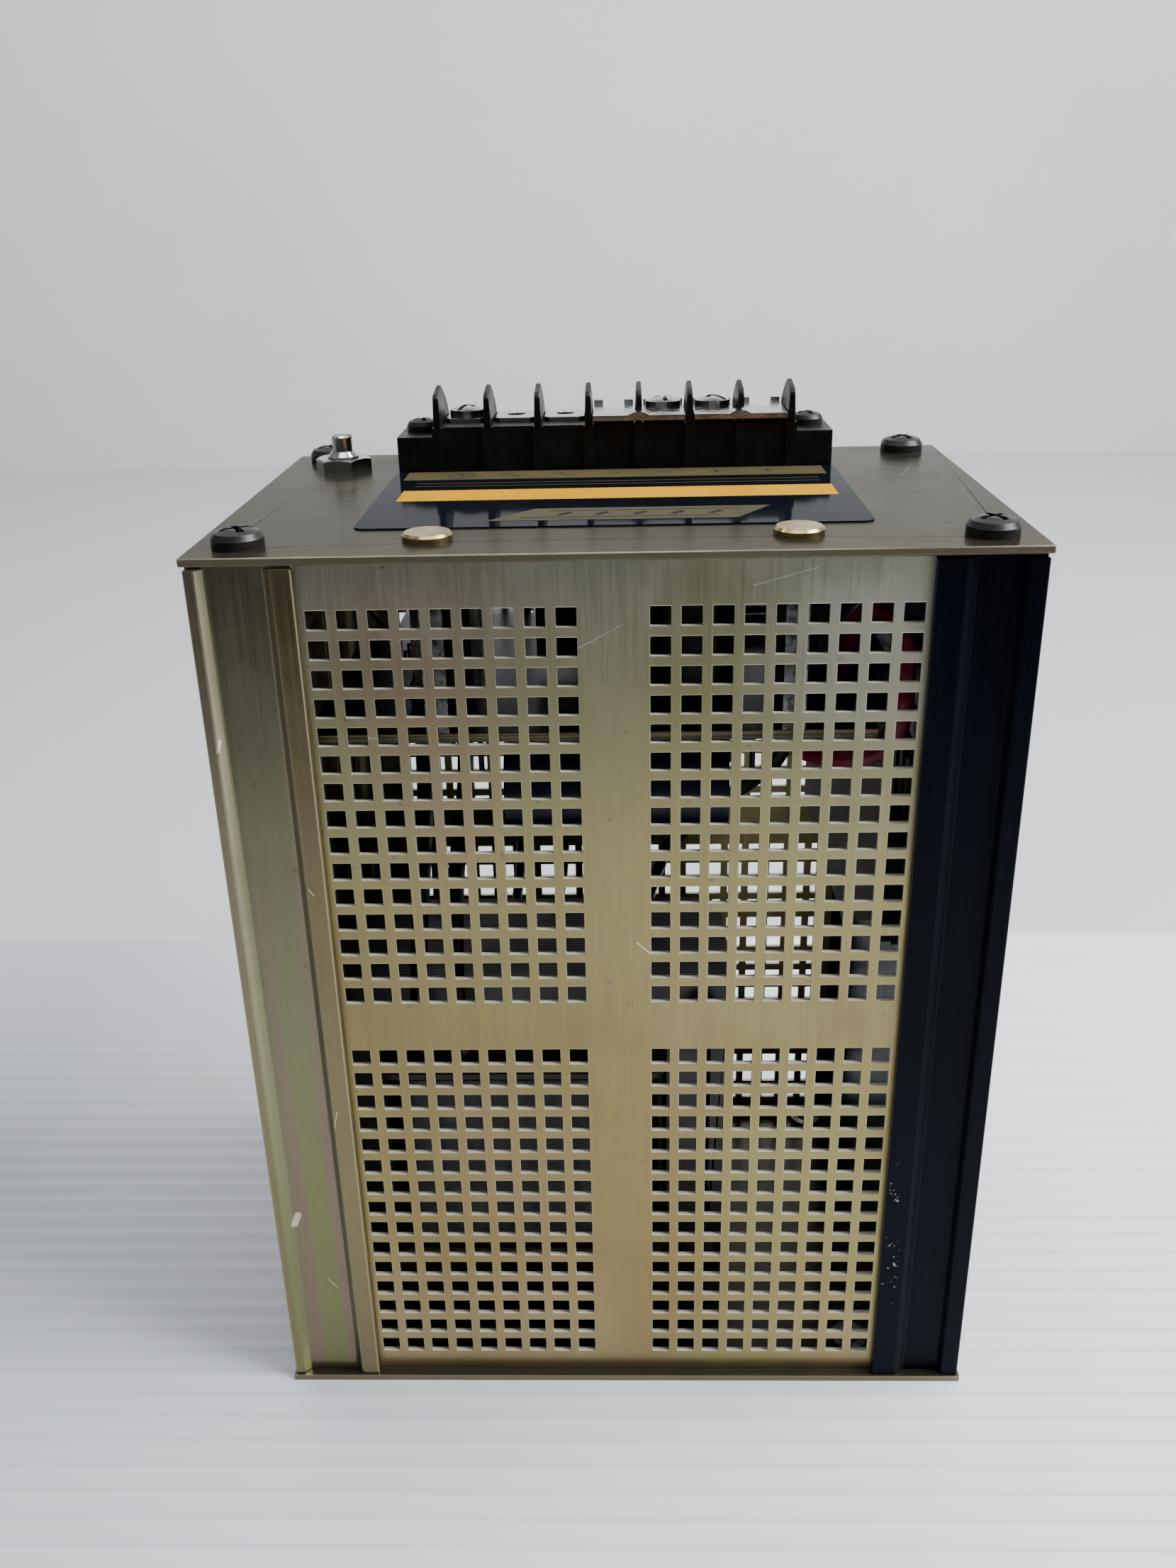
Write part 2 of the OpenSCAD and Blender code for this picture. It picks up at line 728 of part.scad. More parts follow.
module rectifier_bridge() {
    color("black") translate([-14, -8, board_top]) {
        translate([0, 0, 3]) difference() {
            cube([20, 6, 15]);
            translate([10, -1, 10]) rotate([-90, 0, 0]) cylinder(h = 8, r = 1.6);
        }
        for (i = [0:3]) translate([2.5 + 5*i, 3, 0]) cylinder(h = 3.5, r = 0.5);
    }
}

module regulator_ic() {
    color("black") translate([-6, 9, board_top]) {
        translate([0, 0.6, 0.8]) cube([19.3, 6.4, 3.4]);
        for (i = [0:6], y = [0, 7]) translate([1.8 + 2.54*i, y, 0]) cube([0.6, 0.62, 2.6]);
    }
}

module resistors() {
    color("burlywood") {
        for (i = [0:3]) translate([-34, -3 + 4.5*i, board_top]) axial_part(6.5, 1.2, 0.3, 1.8, 5.5);
        for (i = [0:1]) translate([26.8, 15 + 6*i, board_top]) axial_part(9, 1.8, 0.35, 2.4, 7.5);
    }
}

module power_resistors() {
    color("ivory") translate([38, -8, board_top]) {
        cube([8, 22, 8]);
    }
}

module diodes() {
    color("black") for (i = [0:1]) translate([-34, -20 + 9.6*i, board_top])
        rotate([0, 0, 90]) axial_part(5.2, 1.4, 0.4, 2, 4.4);
}

// -------------------------------------------------------------- transformer

module core_holes(r) {
    for (x = [-core_bolt_x, core_bolt_x], z = [-core_bolt_z, core_bolt_z])
        translate([x, 0, z]) rotate([90, 0, 0]) cylinder(h = 80, r = r, center = true);
}

module transformer_core() {
    color("dimgray") translate([core_x, core_y, core_z]) difference() {
        cube([core_w, core_stack, core_h], center = true);
        for (x = [-1, 1]) translate([x*(leg_w + window_w)/2, 0, 0])
            cube([window_w, core_stack + 2, window_z], center = true);
        core_holes(core_bolt_r + 0.1);
    }
}

// Rectangular block with rounded vertical edges
module rounded_block(w, d, h, r) {
    linear_extrude(h, center = true) union() {
        square([w - 2*r, d], center = true);
        square([w, d - 2*r], center = true);
        for (x = [-1, 1], y = [-1, 1]) translate([x*(w/2 - r), y*(d/2 - r)]) circle(r = r);
    }
}

tube_w = leg_w + 2*bobbin_gap + 2*bobbin_wall;
tube_d = core_stack + 2*bobbin_gap + 2*bobbin_wall;

module bobbin() {
    color("olive") translate([core_x, core_y, core_z]) difference() {
        union() {
            cube([tube_w, tube_d, bobbin_h], center = true);
            for (z = [-1, 1]) translate([0, 0, z*(bobbin_h - bobbin_wall)/2])
                rounded_block(bobbin_w, bobbin_d, bobbin_wall, 3);
        }
        cube([leg_w + 2*bobbin_gap, core_stack + 2*bobbin_gap, bobbin_h + 2], center = true);
    }
}

coil_h = bobbin_h - 2*bobbin_wall - 0.2;

module winding() {
    color("brown") translate([core_x, core_y, core_z]) difference() {
        rounded_block(winding_w, winding_d, coil_h, 6);
        cube([tube_w + 0.1, tube_d + 0.1, coil_h + 2], center = true);
    }
}

module winding_wrap() {
    color("darkslategray") translate([core_x, core_y, core_z]) difference() {
        rounded_block(winding_w + 2*wrap_t, winding_d + 2*wrap_t, coil_h - 1, 6 + wrap_t);
        rounded_block(winding_w + 0.04, winding_d + 0.04, coil_h + 2, 6);
    }
}

// Steel straps clamp both faces of the stack; the lower pair have feet on the bottom plate
module transformer_brackets() {
    strap_h = yoke - 1.2;
    color("gray") difference() {
        for (side = [-1, 1]) translate([core_x, core_y + side*(core_stack + bracket_t)/2, 0]) {
            translate([0, 0, core_z + core_h/2 - strap_h/2])
                cube([bracket_l, bracket_t, strap_h], center = true);
            translate([0, 0, inner_bottom + yoke/2]) cube([bracket_l, bracket_t, yoke], center = true);
            translate([0, side*foot_d/2, inner_bottom + bracket_t/2])
                cube([bracket_l, foot_d + bracket_t, bracket_t], center = true);
        }
        translate([core_x, core_y, core_z]) core_holes(core_bolt_r + 0.1);
        for (x = foot_x, y = foot_y) translate([x, y, -1]) cylinder(h = 8, r = screw8_hole_r);
    }
}

module core_bolts() {
    length = core_stack + 2*bracket_t + 5.5;
    color("silver") translate([core_x, front_face_y - bracket_t, core_z])
        for (x = [-core_bolt_x, core_bolt_x], z = [-core_bolt_z, core_bolt_z])
            translate([x, 0, z]) rotate([-90, 0, 0]) {
                translate([0, 0, -2.8]) cylinder(h = 2.8, r = 3.9, $fn = 6);
                translate([0, 0, -1]) cylinder(h = length + 1, r = core_bolt_r);
            }
}

module core_nuts() {
    color("silver") translate([core_x, back_face_y + bracket_t, core_z])
        for (x = [-core_bolt_x, core_bolt_x], z = [-core_bolt_z, core_bolt_z])
            translate([x, 0, z]) rotate([-90, 0, 0]) hex_nut(6.8, 3, core_bolt_r + 0.03);
}

module foot_screws() {
    color("silver") for (x = foot_x, y = foot_y) translate([x, y, 0.03])
        flat_screw(3.6, plate_t - 0.1, screw8_r, 7.5);
}

module foot_nuts() {
    color("silver") for (x = foot_x, y = foot_y) translate([x, y, inner_bottom + bracket_t])
        hex_nut(6.4, 3, screw8_r + 0.03);
}

// -------------------------------------------------------- power transistors

// Children are drawn flat on the heatsink's inner face, +Y up the case
module on_sink(y, lift) {
    translate([sink_face_x - lift, y, transistor_z]) rotate([90, 0, -90]) children();
}

module mica_insulators() {
    color("gainsboro") for (y = transistor_y) on_sink(y, 0) difference() {
        translate([-9, -11.5, 0]) cube([18, 23, mica_t]);
        translate([0, 3.5, -1]) cylinder(h = 3, r = 2);
    }
}

module pass_transistors() {
    color("black") for (y = transistor_y) on_sink(y, mica_t) difference() {
        union() {
            translate([-8, -10.5, 0]) cube([16, 21, 3]);
            translate([-7.6, -10.1, 3]) cube([15.2, 20.2, 1.8]);
            for (x = [-5.4, 0, 5.4]) translate([x - 0.6, 9, 1.2]) cube([1.2, 16, 0.6]);
        }
        translate([0, 3.5, -1]) cylinder(h = 8, r = 1.8);
    }
}

module transistor_screws() {
    color("silver") for (y = transistor_y) on_sink(y, mica_t + 4.8) translate([0, 3.5, 0])
        pan_screw(2.9, 2, shank_r, 8.6);
}

// Bent card that keeps the wiring off the transistors
module insulating_card() {
    card_t = 0.6;
    card_h = 38;
    color("silver") translate([card_x, card_y, board_z - card_h]) {
        cube([card_w, card_t, card_h]);
        cube([card_t, card_d, card_h]);
    }
}

// ------------------------------------------------------------ internal leads

tail_end_z = case_h - tail_below;

module primary_leads() {
    color("gray") for (i = [1, 2]) {
        x = terminal_x(i);
        lead([[x, terminal_y1 - 0.4, tail_end_z - 0.1], [x, 36, 150], [x, 34.8, 140],
            [x, 34.4, 131], [x - 1, 34.4, 115], [x - 2, 34, 95], [x - 3, 31, 76],
            [x - 4, 28.5, 68], [x - 4, 27.5, 61.5]], 1.1);
    }
}

module board_lead() {
    color("crimson")
        lead([[38.5, -20, board_top + 0.1], [38.5, -20, 137], [39, -21.5, 144], [41, -25.5, 149.5],
            [43.6, -31, 150.5], [45.3, -34.6, 147], [45.6, -35.2, 141], [45.5, -35, 135.5],
            [44.8, -34.2, 131], [42, -33, 127.4], [37.5, -31.5, 126], [32.5, -28, 125.5],
            [29.4, -22.6, 125.6], [28.2, -19.8, 127.2], [28, -19, 129.3],
            [28, -19, board_z - 0.1]], 1.9, [0.3, 1, 0]);
}

// Four leads between the coil and the board, two at each side
module coil_leads() {
    color("black") {
        lead([[-30, -20, 58.6], [-30.5, -20.5, 66], [-31, -18, 78], [-31, -10, 92],
            [-30.5, -1, 100], [-30, 6, 107], [-30.2, 11, 117], [-30.4, 12, board_z - 0.1]], 1.6);
        lead([[-38, -19.5, 58.6], [-38.5, -20, 66], [-38, -17, 80], [-37.5, -8, 94],
            [-37.5, 1, 104], [-38, 7, 114], [-38, 8, 123], [-38, 8, board_z - 0.1]], 1.6);
        lead([[-2, 27, 58.6], [-1, 27, 66], [4, 26, 80], [12, 22, 95], [22, 16, 107],
            [28, 12, 117], [29, 12, board_z - 0.1]], 1.6);
        lead([[5, 29, 58.6], [5.5, 28.5, 66], [11, 28.5, 81], [23, 26, 93], [33, 23, 103],
            [36, 20, 115], [36, 19, board_z - 0.1]], 1.6);
    }
}

module transistor_leads() {
    color("gray") for (y = transistor_y, dy = [-5.4, 0, 5.4])
        lead([[50.7, y + dy, transistor_z + 25.1], [50.6, y + dy, 123.5], [49, y + dy, 127],
            [47.5, y + dy*0.9, 129], [47.4, y + dy*0.9, board_z - 0.1]], 0.7, [0, 1, 0]);
}

module pot_leads() {
    color("white") for (dx = [-3, 0, 3])
        lead([[pot_x + dx, pot_y - pot_r - 1.8, pot_floor + 0.9], [pot_x + dx, pot_y - pot_r - 2.2, 147],
            [pot_x + 3 + dx, pot_y - 10, 140], [pot_x + 7 + dx, pot_y - 12, 135],
            [pot_x + 7.1 + dx, pot_y - 12, board_top + 0.1]],
            0.5, [1, 0.1, 0]);
}

bottom_plate();
top_plate();
left_rail();
right_heatsink();
front_cover();
back_cover();
top_screws();
bottom_screws();
mount_nuts();
plate_rivets();
label();
terminal_block();
terminal_barriers();
terminal_plates();
ground_screw();
minus_sense_screw();
plus_sense_screw();
minus_link();
plus_link();
block_screws();
pot_housing();
pot_bushing();
pot_nut();
pot_shaft();
pot_rotor();
pot_track();
board_standoffs();
board_screws();
circuit_board();
transformer_core();
bobbin();
winding();
winding_wrap();
transformer_brackets();
core_bolts();
core_nuts();
foot_screws();
foot_nuts();
main_capacitor();
output_capacitors();
film_capacitors();
rectifier_bridge();
regulator_ic();
resistors();
power_resistors();
diodes();
pass_transistors();
mica_insulators();
transistor_screws();
insulating_card();
primary_leads();
board_lead();
coil_leads();
transistor_leads();
pot_leads();
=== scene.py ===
import json
import math
import bmesh
import bpy
from mathutils import Matrix, Vector

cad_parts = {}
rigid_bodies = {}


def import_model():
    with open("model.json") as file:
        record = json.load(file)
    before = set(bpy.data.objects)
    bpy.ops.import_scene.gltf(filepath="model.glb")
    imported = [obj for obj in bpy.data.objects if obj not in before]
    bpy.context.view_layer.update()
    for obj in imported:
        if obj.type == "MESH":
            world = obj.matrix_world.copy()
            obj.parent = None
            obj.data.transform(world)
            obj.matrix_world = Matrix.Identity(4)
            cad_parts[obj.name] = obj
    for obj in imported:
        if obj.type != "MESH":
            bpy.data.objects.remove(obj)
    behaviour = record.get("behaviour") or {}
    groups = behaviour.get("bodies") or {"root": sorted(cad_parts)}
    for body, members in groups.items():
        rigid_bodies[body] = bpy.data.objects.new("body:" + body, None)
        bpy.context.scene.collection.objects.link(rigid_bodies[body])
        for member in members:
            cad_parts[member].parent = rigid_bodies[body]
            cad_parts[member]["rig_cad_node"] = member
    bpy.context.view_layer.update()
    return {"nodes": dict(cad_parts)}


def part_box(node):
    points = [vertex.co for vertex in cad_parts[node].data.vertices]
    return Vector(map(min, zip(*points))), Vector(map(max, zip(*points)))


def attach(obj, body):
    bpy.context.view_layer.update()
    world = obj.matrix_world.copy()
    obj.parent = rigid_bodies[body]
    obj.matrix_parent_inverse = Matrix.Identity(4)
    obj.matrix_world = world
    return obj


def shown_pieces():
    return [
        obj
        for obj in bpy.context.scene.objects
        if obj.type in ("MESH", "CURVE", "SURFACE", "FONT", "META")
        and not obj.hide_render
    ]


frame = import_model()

MM = 0.001
NODES = frame["nodes"]


# ---------------------------------------------------------------- node helpers

class Mat:
    """A Principled material with short helpers for its procedural nodes."""

    def __init__(self, name, color, rough, metal=0.0, **sockets):
        self.m = bpy.data.materials.new(name)
        self.m.use_nodes = True
        self.t = self.m.node_tree
        self.bsdf = self.t.nodes["Principled BSDF"]
        self.bsdf.inputs["Base Color"].default_value = (*color, 1)
        self.bsdf.inputs["Roughness"].default_value = rough
        self.bsdf.inputs["Metallic"].default_value = metal
        for key, value in sockets.items():
            self.bsdf.inputs[key.replace("_", " ")].default_value = value
        self.m.diffuse_color = (*color, 1)
        self.obj = self.t.nodes.new("ShaderNodeTexCoord").outputs["Object"]

    def link(self, a, b):
        self.t.links.new(a, b)

    def mapped(self, scale, offset=(0, 0, 0)):
        n = self.t.nodes.new("ShaderNodeMapping")
        n.inputs["Scale"].default_value = scale
        n.inputs["Location"].default_value = offset
        self.link(self.obj, n.inputs["Vector"])
        return n.outputs["Vector"]

    def noise(self, scale, detail=3.0, rough=0.5, vector=None, distortion=0.0):
        n = self.t.nodes.new("ShaderNodeTexNoise")
        n.inputs["Scale"].default_value = scale
        n.inputs["Detail"].default_value = detail
        n.inputs["Roughness"].default_value = rough
        n.inputs["Distortion"].default_value = distortion
        self.link(vector or self.obj, n.inputs["Vector"])
        return n.outputs["Fac"]

    def voronoi(self, scale, feature):
        n = self.t.nodes.new("ShaderNodeTexVoronoi")
        n.feature = feature
        n.inputs["Scale"].default_value = scale
        self.link(self.obj, n.inputs["Vector"])
        return n.outputs["Distance"]

    def wave(self, scale, direction, distortion=0.0):
        n = self.t.nodes.new("ShaderNodeTexWave")
        n.bands_direction = direction
        n.inputs["Scale"].default_value = scale
        n.inputs["Distortion"].default_value = distortion
        self.link(self.obj, n.inputs["Vector"])
        return n.outputs["Fac"]

    def axis(self, name):
        n = self.t.nodes.new("ShaderNodeSeparateXYZ")
        self.link(self.obj, n.inputs[0])
        return n.outputs[name]

    def ramp(self, fac, stops):
        n = self.t.nodes.new("ShaderNodeValToRGB")
        while len(n.color_ramp.elements) < len(stops):
            n.color_ramp.elements.new(0.5)
        for e, (pos, col) in zip(n.color_ramp.elements, stops):
            e.position = pos
            e.color = (*col, 1) if hasattr(col, "__len__") else (col, col, col, 1)
        self.link(fac, n.inputs["Fac"])
        return n.outputs["Color"]

    def mix(self, fac, a, b):
        n = self.t.nodes.new("ShaderNodeMix")
        n.data_type = "RGBA"
        for value, key in ((fac, 0), (a, 6), (b, 7)):
            if hasattr(value, "is_linked"):
                self.link(value, n.inputs[key])
            elif key == 0:
                n.inputs[key].default_value = value
            else:
                n.inputs[key].default_value = (*value, 1)
        return n.outputs[2]

    def math(self, op, a, b=0.0, clamp=False):
        n = self.t.nodes.new("ShaderNodeMath")
        n.operation = op
        n.use_clamp = clamp
        for value, key in ((a, 0), (b, 1)):
            if hasattr(value, "is_linked"):
                self.link(value, n.inputs[key])
            else:
                n.inputs[key].default_value = value
        return n.outputs[0]

    def range(self, fac, lo, hi, out_lo, out_hi):
        n = self.t.nodes.new("ShaderNodeMapRange")
        for key, value in (("From Min", lo), ("From Max", hi), ("To Min", out_lo), ("To Max", out_hi)):
            n.inputs[key].default_value = value
        self.link(fac, n.inputs["Value"])
        return n.outputs["Result"]

    def edges(self, width):
        """1 along sharp edges and 0 on flats, from a bevelled normal."""
        b = self.t.nodes.new("ShaderNodeBevel")
        b.samples = 6
        b.inputs["Radius"].default_value = width
        g = self.t.nodes.new("ShaderNodeNewGeometry")
        d = self.t.nodes.new("ShaderNodeVectorMath")
        d.operation = "DOT_PRODUCT"
        self.link(b.outputs[0], d.inputs[0])
        self.link(g.outputs["Normal"], d.inputs[1])
        return self.range(d.outputs["Value"], 1.0, 0.8, 0.0, 1.0)

    def normal(self, name, kind="True Normal"):
        """The named component of the face's normal."""
        g = self.t.nodes.new("ShaderNodeNewGeometry")
        n = self.t.nodes.new("ShaderNodeSeparateXYZ")
        self.link(g.outputs[kind], n.inputs[0])
        return n.outputs[name]

    def facing(self, name, lo=0.4, hi=0.6):
        """1 where the face looks along the named axis, either way."""
        return self.range(self.math("ABSOLUTE", self.normal(name)), lo, hi, 0.0, 1.0)

    def upward(self):
        """1 where the face looks up."""
        return self.range(self.normal("Z"), 0.4, 0.6, 0.0, 1.0)

    def strokes(self, lines, plane="XZ"):
        """1 on any of several thin lines, each given as (start, end, width) in mm."""
        marks = self.stroke(*lines[0], plane)
        for line in lines[1:]:
            marks = self.math("MAXIMUM", marks, self.stroke(*line, plane))
        return marks

    def stroke(self, a, b, width, plane):
        """1 on a thin line from a to b, in mm, drawn in the named plane."""
        px, py = (self.math("MULTIPLY", self.axis(k), 1.0 / MM) for k in plane)
        d = Vector(b) - Vector(a)
        dx, dy = self.math("SUBTRACT", px, a[0]), self.math("SUBTRACT", py, a[1])
        along = self.math("ADD", self.math("MULTIPLY", dx, d.x / d.length_squared),
                          self.math("MULTIPLY", dy, d.y / d.length_squared), True)
        ex = self.math("SUBTRACT", dx, self.math("MULTIPLY", along, d.x))
        ey = self.math("SUBTRACT", dy, self.math("MULTIPLY", along, d.y))
        squares = self.math("ADD", self.math("MULTIPLY", ex, ex), self.math("MULTIPLY", ey, ey))
        far = self.math("SQRT", squares)
        return self.range(far, width * 0.5, width * 0.8, 1.0, 0.0)

    def color(self, out):
        self.link(out, self.bsdf.inputs["Base Color"])

    def metal(self, out):
        self.link(out, self.bsdf.inputs["Metallic"])

    def rough(self, out):
        self.link(out, self.bsdf.inputs["Roughness"])

    def bump(self, height, distance, strength):
        n = self.t.nodes.new("ShaderNodeBump")
        n.inputs["Distance"].default_value = distance
        n.inputs["Strength"].default_value = strength
        self.link(height, n.inputs["Height"])
        self.link(n.outputs[0], self.bsdf.inputs["Normal"])


# ------------------------------------------------------------------- materials

def chromate(m, tint, grain, rough, rim=None, rim_color=(0.80, 0.75, 0.60), lines_mix=0.20):
    """Finish of yellow chromate on aluminium over a tint: drawn grain, stains and rubbed edges.
    grain is the noise scale per axis; rim masks faces that are duller and paler: cut edges on the rail and
    plate, and on the cover its upward faces, whose pale colour is a painted highlight."""
    lines = m.noise(1, 4, 0.7, m.mapped(grain))
    tint = m.mix(m.range(lines, 0.35, 0.65, 0.0, lines_mix), tint, (0.22, 0.19, 0.14))
    stains = m.noise(55, 5, 0.62)
    tint = m.mix(m.range(stains, 0.60, 0.76, 0.0, 0.30), tint, (0.26, 0.17, 0.10))
    spots = m.range(m.noise(420, 2, 0.5), 0.70, 0.74, 0.0, 0.5)
    tint = m.mix(spots, tint, (0.16, 0.12, 0.08))
    tint = m.mix(m.math("MULTIPLY", m.edges(0.00035), 0.5), tint, (0.78, 0.70, 0.48))
    r = m.math("ADD", m.range(lines, 0.3, 0.7, rough - 0.05, rough + 0.08),
               m.range(stains, 0.5, 0.8, 0.0, 0.12))
    if rim is not None:
        tint = m.mix(rim, tint, rim_color)
        r = m.math("ADD", r, m.math("MULTIPLY", rim, 0.25))
        m.metal(m.range(rim, 0.0, 1.0, 0.88, 0.25))
    m.color(tint)
    m.rough(r)
    m.bump(m.math("MULTIPLY", lines, 0.6), 0.00005, 0.6)
    return m.m


def cover_look():
    m = Mat("chromate_cover", (0.42, 0.36, 0.20), 0.34, 0.88)
    sway = m.math("MULTIPLY", m.noise(11, 3, 0.5, m.mapped((1, 1, 0.7))), 0.10)
    level = m.range(m.math("ADD", m.axis("Z"), sway), 0.05, 0.21, 0.0, 1.0)
    tint = m.ramp(level, [(0.0, (0.43, 0.315, 0.17)), (0.22, (0.27, 0.19, 0.070)),
                          (0.42, (0.265, 0.20, 0.078)), (0.62, (0.335, 0.28, 0.118)),
                          (0.80, (0.375, 0.34, 0.185)), (0.95, (0.60, 0.58, 0.46))])
    blush = m.noise(20, 2, 0.5, m.mapped((1, 1, 0.55), (0.2, 0, 0.4)), 0.4)
    tint = m.mix(m.range(blush, 0.52, 0.66, 0.0, 0.55), tint, (0.37, 0.235, 0.145))
    tint = m.mix(m.range(blush, 0.34, 0.46, 0.45, 0.0), tint, (0.33, 0.31, 0.11))
    marks = m.strokes([((21.0, 157.6), (30.5, 160.2), 0.16), ((-3.4, 149.2), (-8.9, 146.6), 0.14),
                       ((-3.4, 149.2), (1.5, 151.9), 0.12), ((-40.5, 134.0), (-34.5, 133.6), 0.10),
                       ((3.2, 96.5), (5.6, 94.2), 0.14)])
    tint = m.mix(m.math("MULTIPLY", marks, 0.7), tint, (0.88, 0.86, 0.78))
    # Painted shade: the faces that don't look along Y, the hole walls and the cover's edges, are darkened
    # nearly to black.
    hole_walls_shaded = m.range(m.facing("Y"), 0.0, 1.0, 1.0, 0.0)
    tint = m.mix(hole_walls_shaded, tint, (0.05, 0.042, 0.03))
    # Painted highlight: the upward faces of the hole walls are made pale cream as if lit from above.
    return chromate(m, tint, (2600, 60, 60), 0.33, m.upward(), (0.86, 0.81, 0.66))


def rail_look():
    m = Mat("chromate_rail", (0.26, 0.25, 0.14), 0.30, 0.88)
    wander = m.math("MULTIPLY", m.math("SUBTRACT", m.noise(16, 3, 0.5, m.mapped((1, 1, 0.45))), 0.5), 0.16)
    across = m.math("ADD", m.range(m.axis("X"), -0.0641, -0.0478, 0.0, 1.0), wander)
    brown, tan, taupe = (0.28, 0.235, 0.15), (0.205, 0.16, 0.078), (0.225, 0.205, 0.125)
    green, pink, olive = (0.175, 0.185, 0.075), (0.215, 0.142, 0.11), (0.175, 0.163, 0.085)
    low = m.ramp(across, [(0.0, tan), (0.10, green), (0.18, olive), (0.30, pink), (0.40, green),
                          (0.58, green), (0.68, pink), (0.78, olive), (0.86, tan), (1.0, tan)])
    high = m.ramp(across, [(0.0, brown), (0.12, brown), (0.16, olive), (0.26, taupe), (0.62, taupe),
                           (0.74, brown), (0.84, tan), (1.0, tan)])
    drift = m.math("MULTIPLY", m.noise(13, 2, 0.5), 0.05)
    level = m.range(m.math("ADD", m.axis("Z"), drift), 0.07, 0.155, 0.0, 1.0)
    tint = m.mix(level, low, high)
    marks = m.strokes([((-60.9, 37.2), (-60.0, 39.4), 0.9), ((-62.4, 132.5), (-62.0, 134.2), 0.35),
                       ((-51.0, 60.0), (-50.2, 63.5), 0.12), ((-56.0, 24.0), (-54.4, 22.0), 0.12),
                       ((-50.6, 108.0), (-49.8, 106.8), 0.15)])
    tint = m.mix(m.math("MULTIPLY", marks, 0.8), tint, (0.78, 0.62, 0.46))
    ends = m.facing("Z", 0.7, 0.8)
    return chromate(m, tint, (2600, 2600, 24), 0.28, m.math("MULTIPLY", ends, 0.5))


def plate_look():
    m = Mat("chromate_plate", (0.22, 0.21, 0.18), 0.30, 0.92, Specular_Tint=(0.48, 0.47, 0.44, 1))
    clouds = m.noise(14, 3, 0.5, m.mapped((1, 1.6, 1)), 0.4)
    tint = m.ramp(clouds, [(0.30, (0.080, 0.080, 0.075)), (0.5, (0.092, 0.089, 0.078)),
                           (0.70, (0.084, 0.079, 0.070))])
    warm_edge = m.range(m.axis("Y"), -0.043, -0.030, 0.30, 0.0)
    tint = m.mix(warm_edge, tint, (0.19, 0.15, 0.09))
    marks = m.strokes([((-60.0, -20.0), (-57.5, -14.0), 0.15), ((48.0, -31.0), (53.5, -28.5), 0.15),
                       ((-34.0, -33.5), (-28.0, -37.0), 0.12), ((30.0, -36.5), (38.0, -38.0), 0.12),
                       ((52.0, 10.0), (55.0, 19.0), 0.15)], "XY")
    tint = m.mix(m.math("MULTIPLY", marks, 0.5), tint, (0.55, 0.53, 0.48))
    rim = m.range(m.facing("Z"), 0.0, 1.0, 0.5, 0.0)
    return chromate(m, tint, (50, 2200, 2200), 0.19, rim, (0.22, 0.18, 0.11), 0.35)


cover_mat = cover_look()
rail_mat = rail_look()
plate_mat = plate_look()


def black_anodise():
    m = Mat("black_anodise", (0.003, 0.004, 0.008), 0.30, 0.0, Specular_IOR_Level=0.05)
    lines = m.noise(1, 3, 0.6, m.mapped((2600, 2600, 30)))
    clouds = m.noise(9, 3)
    tint = m.mix(m.range(clouds, 0.4, 0.65, 0.0, 1.0), (0.0012, 0.0022, 0.0050), (0.0022, 0.0035, 0.0085))
    tint = m.mix(m.math("MULTIPLY", m.range(lines, 0.5, 0.7, 0.0, 1.0), 0.3), tint, (0.006, 0.008, 0.014))
    # Chips, only low down on the lip beside the cover
    chips = m.range(m.noise(1300, 2, 0.6), 0.66, 0.70, 0.0, 1.0)
    strip = m.math("MULTIPLY", m.range(m.axis("X"), 0.0478, 0.0482, 0.0, 1.0),
                   m.range(m.axis("X"), 0.0508, 0.0512, 1.0, 0.0))
    height = m.math("MULTIPLY", m.range(m.axis("Z"), 0.015, 0.022, 0.0, 1.0),
                    m.range(m.axis("Z"), 0.045, 0.060, 1.0, 0.0))
    zone = m.math("MULTIPLY", m.math("MULTIPLY", strip, height), m.range(m.noise(130, 2), 0.5, 0.6, 0.0, 1.0))
    tint = m.mix(m.math("MULTIPLY", chips, zone), tint, (0.50, 0.51, 0.53))
    tint = m.mix(m.math("MULTIPLY", m.edges(0.0003), 0.10), tint, (0.12, 0.12, 0.14))
    m.color(tint)
    m.rough(m.range(lines, 0.3, 0.7, 0.26, 0.40))
    m.bump(lines, 0.00004, 0.5)
    return m.m


def black_oxide():
    m = Mat("black_oxide", (0.018, 0.017, 0.016), 0.42, 0.4)
    wear = m.math("MULTIPLY", m.edges(0.0003), m.range(m.noise(500, 3), 0.4, 0.7, 0.0, 0.5))
    m.color(m.mix(wear, (0.016, 0.015, 0.015), (0.16, 0.15, 0.14)))
    m.rough(m.range(m.noise(700, 4), 0.3, 0.7, 0.3, 0.5))
    m.bump(m.noise(2500, 3), 0.00004, 0.3)
    return m.m


def bright_metal(name, color, rough=0.16, spots=(0.35, 0.31, 0.26), scale=420):
    m = Mat(name, color, rough, 1.0)
    film = m.noise(scale, 4, 0.6)
    m.color(m.mix(m.range(film, 0.48, 0.72, 0.0, 0.5), color, spots))
    m.rough(m.range(m.noise(scale * 2, 3), 0.3, 0.7, rough * 0.7, rough * 1.7))
    m.bump(m.noise(scale * 5, 2), 0.00003, 0.25)
    return m.m


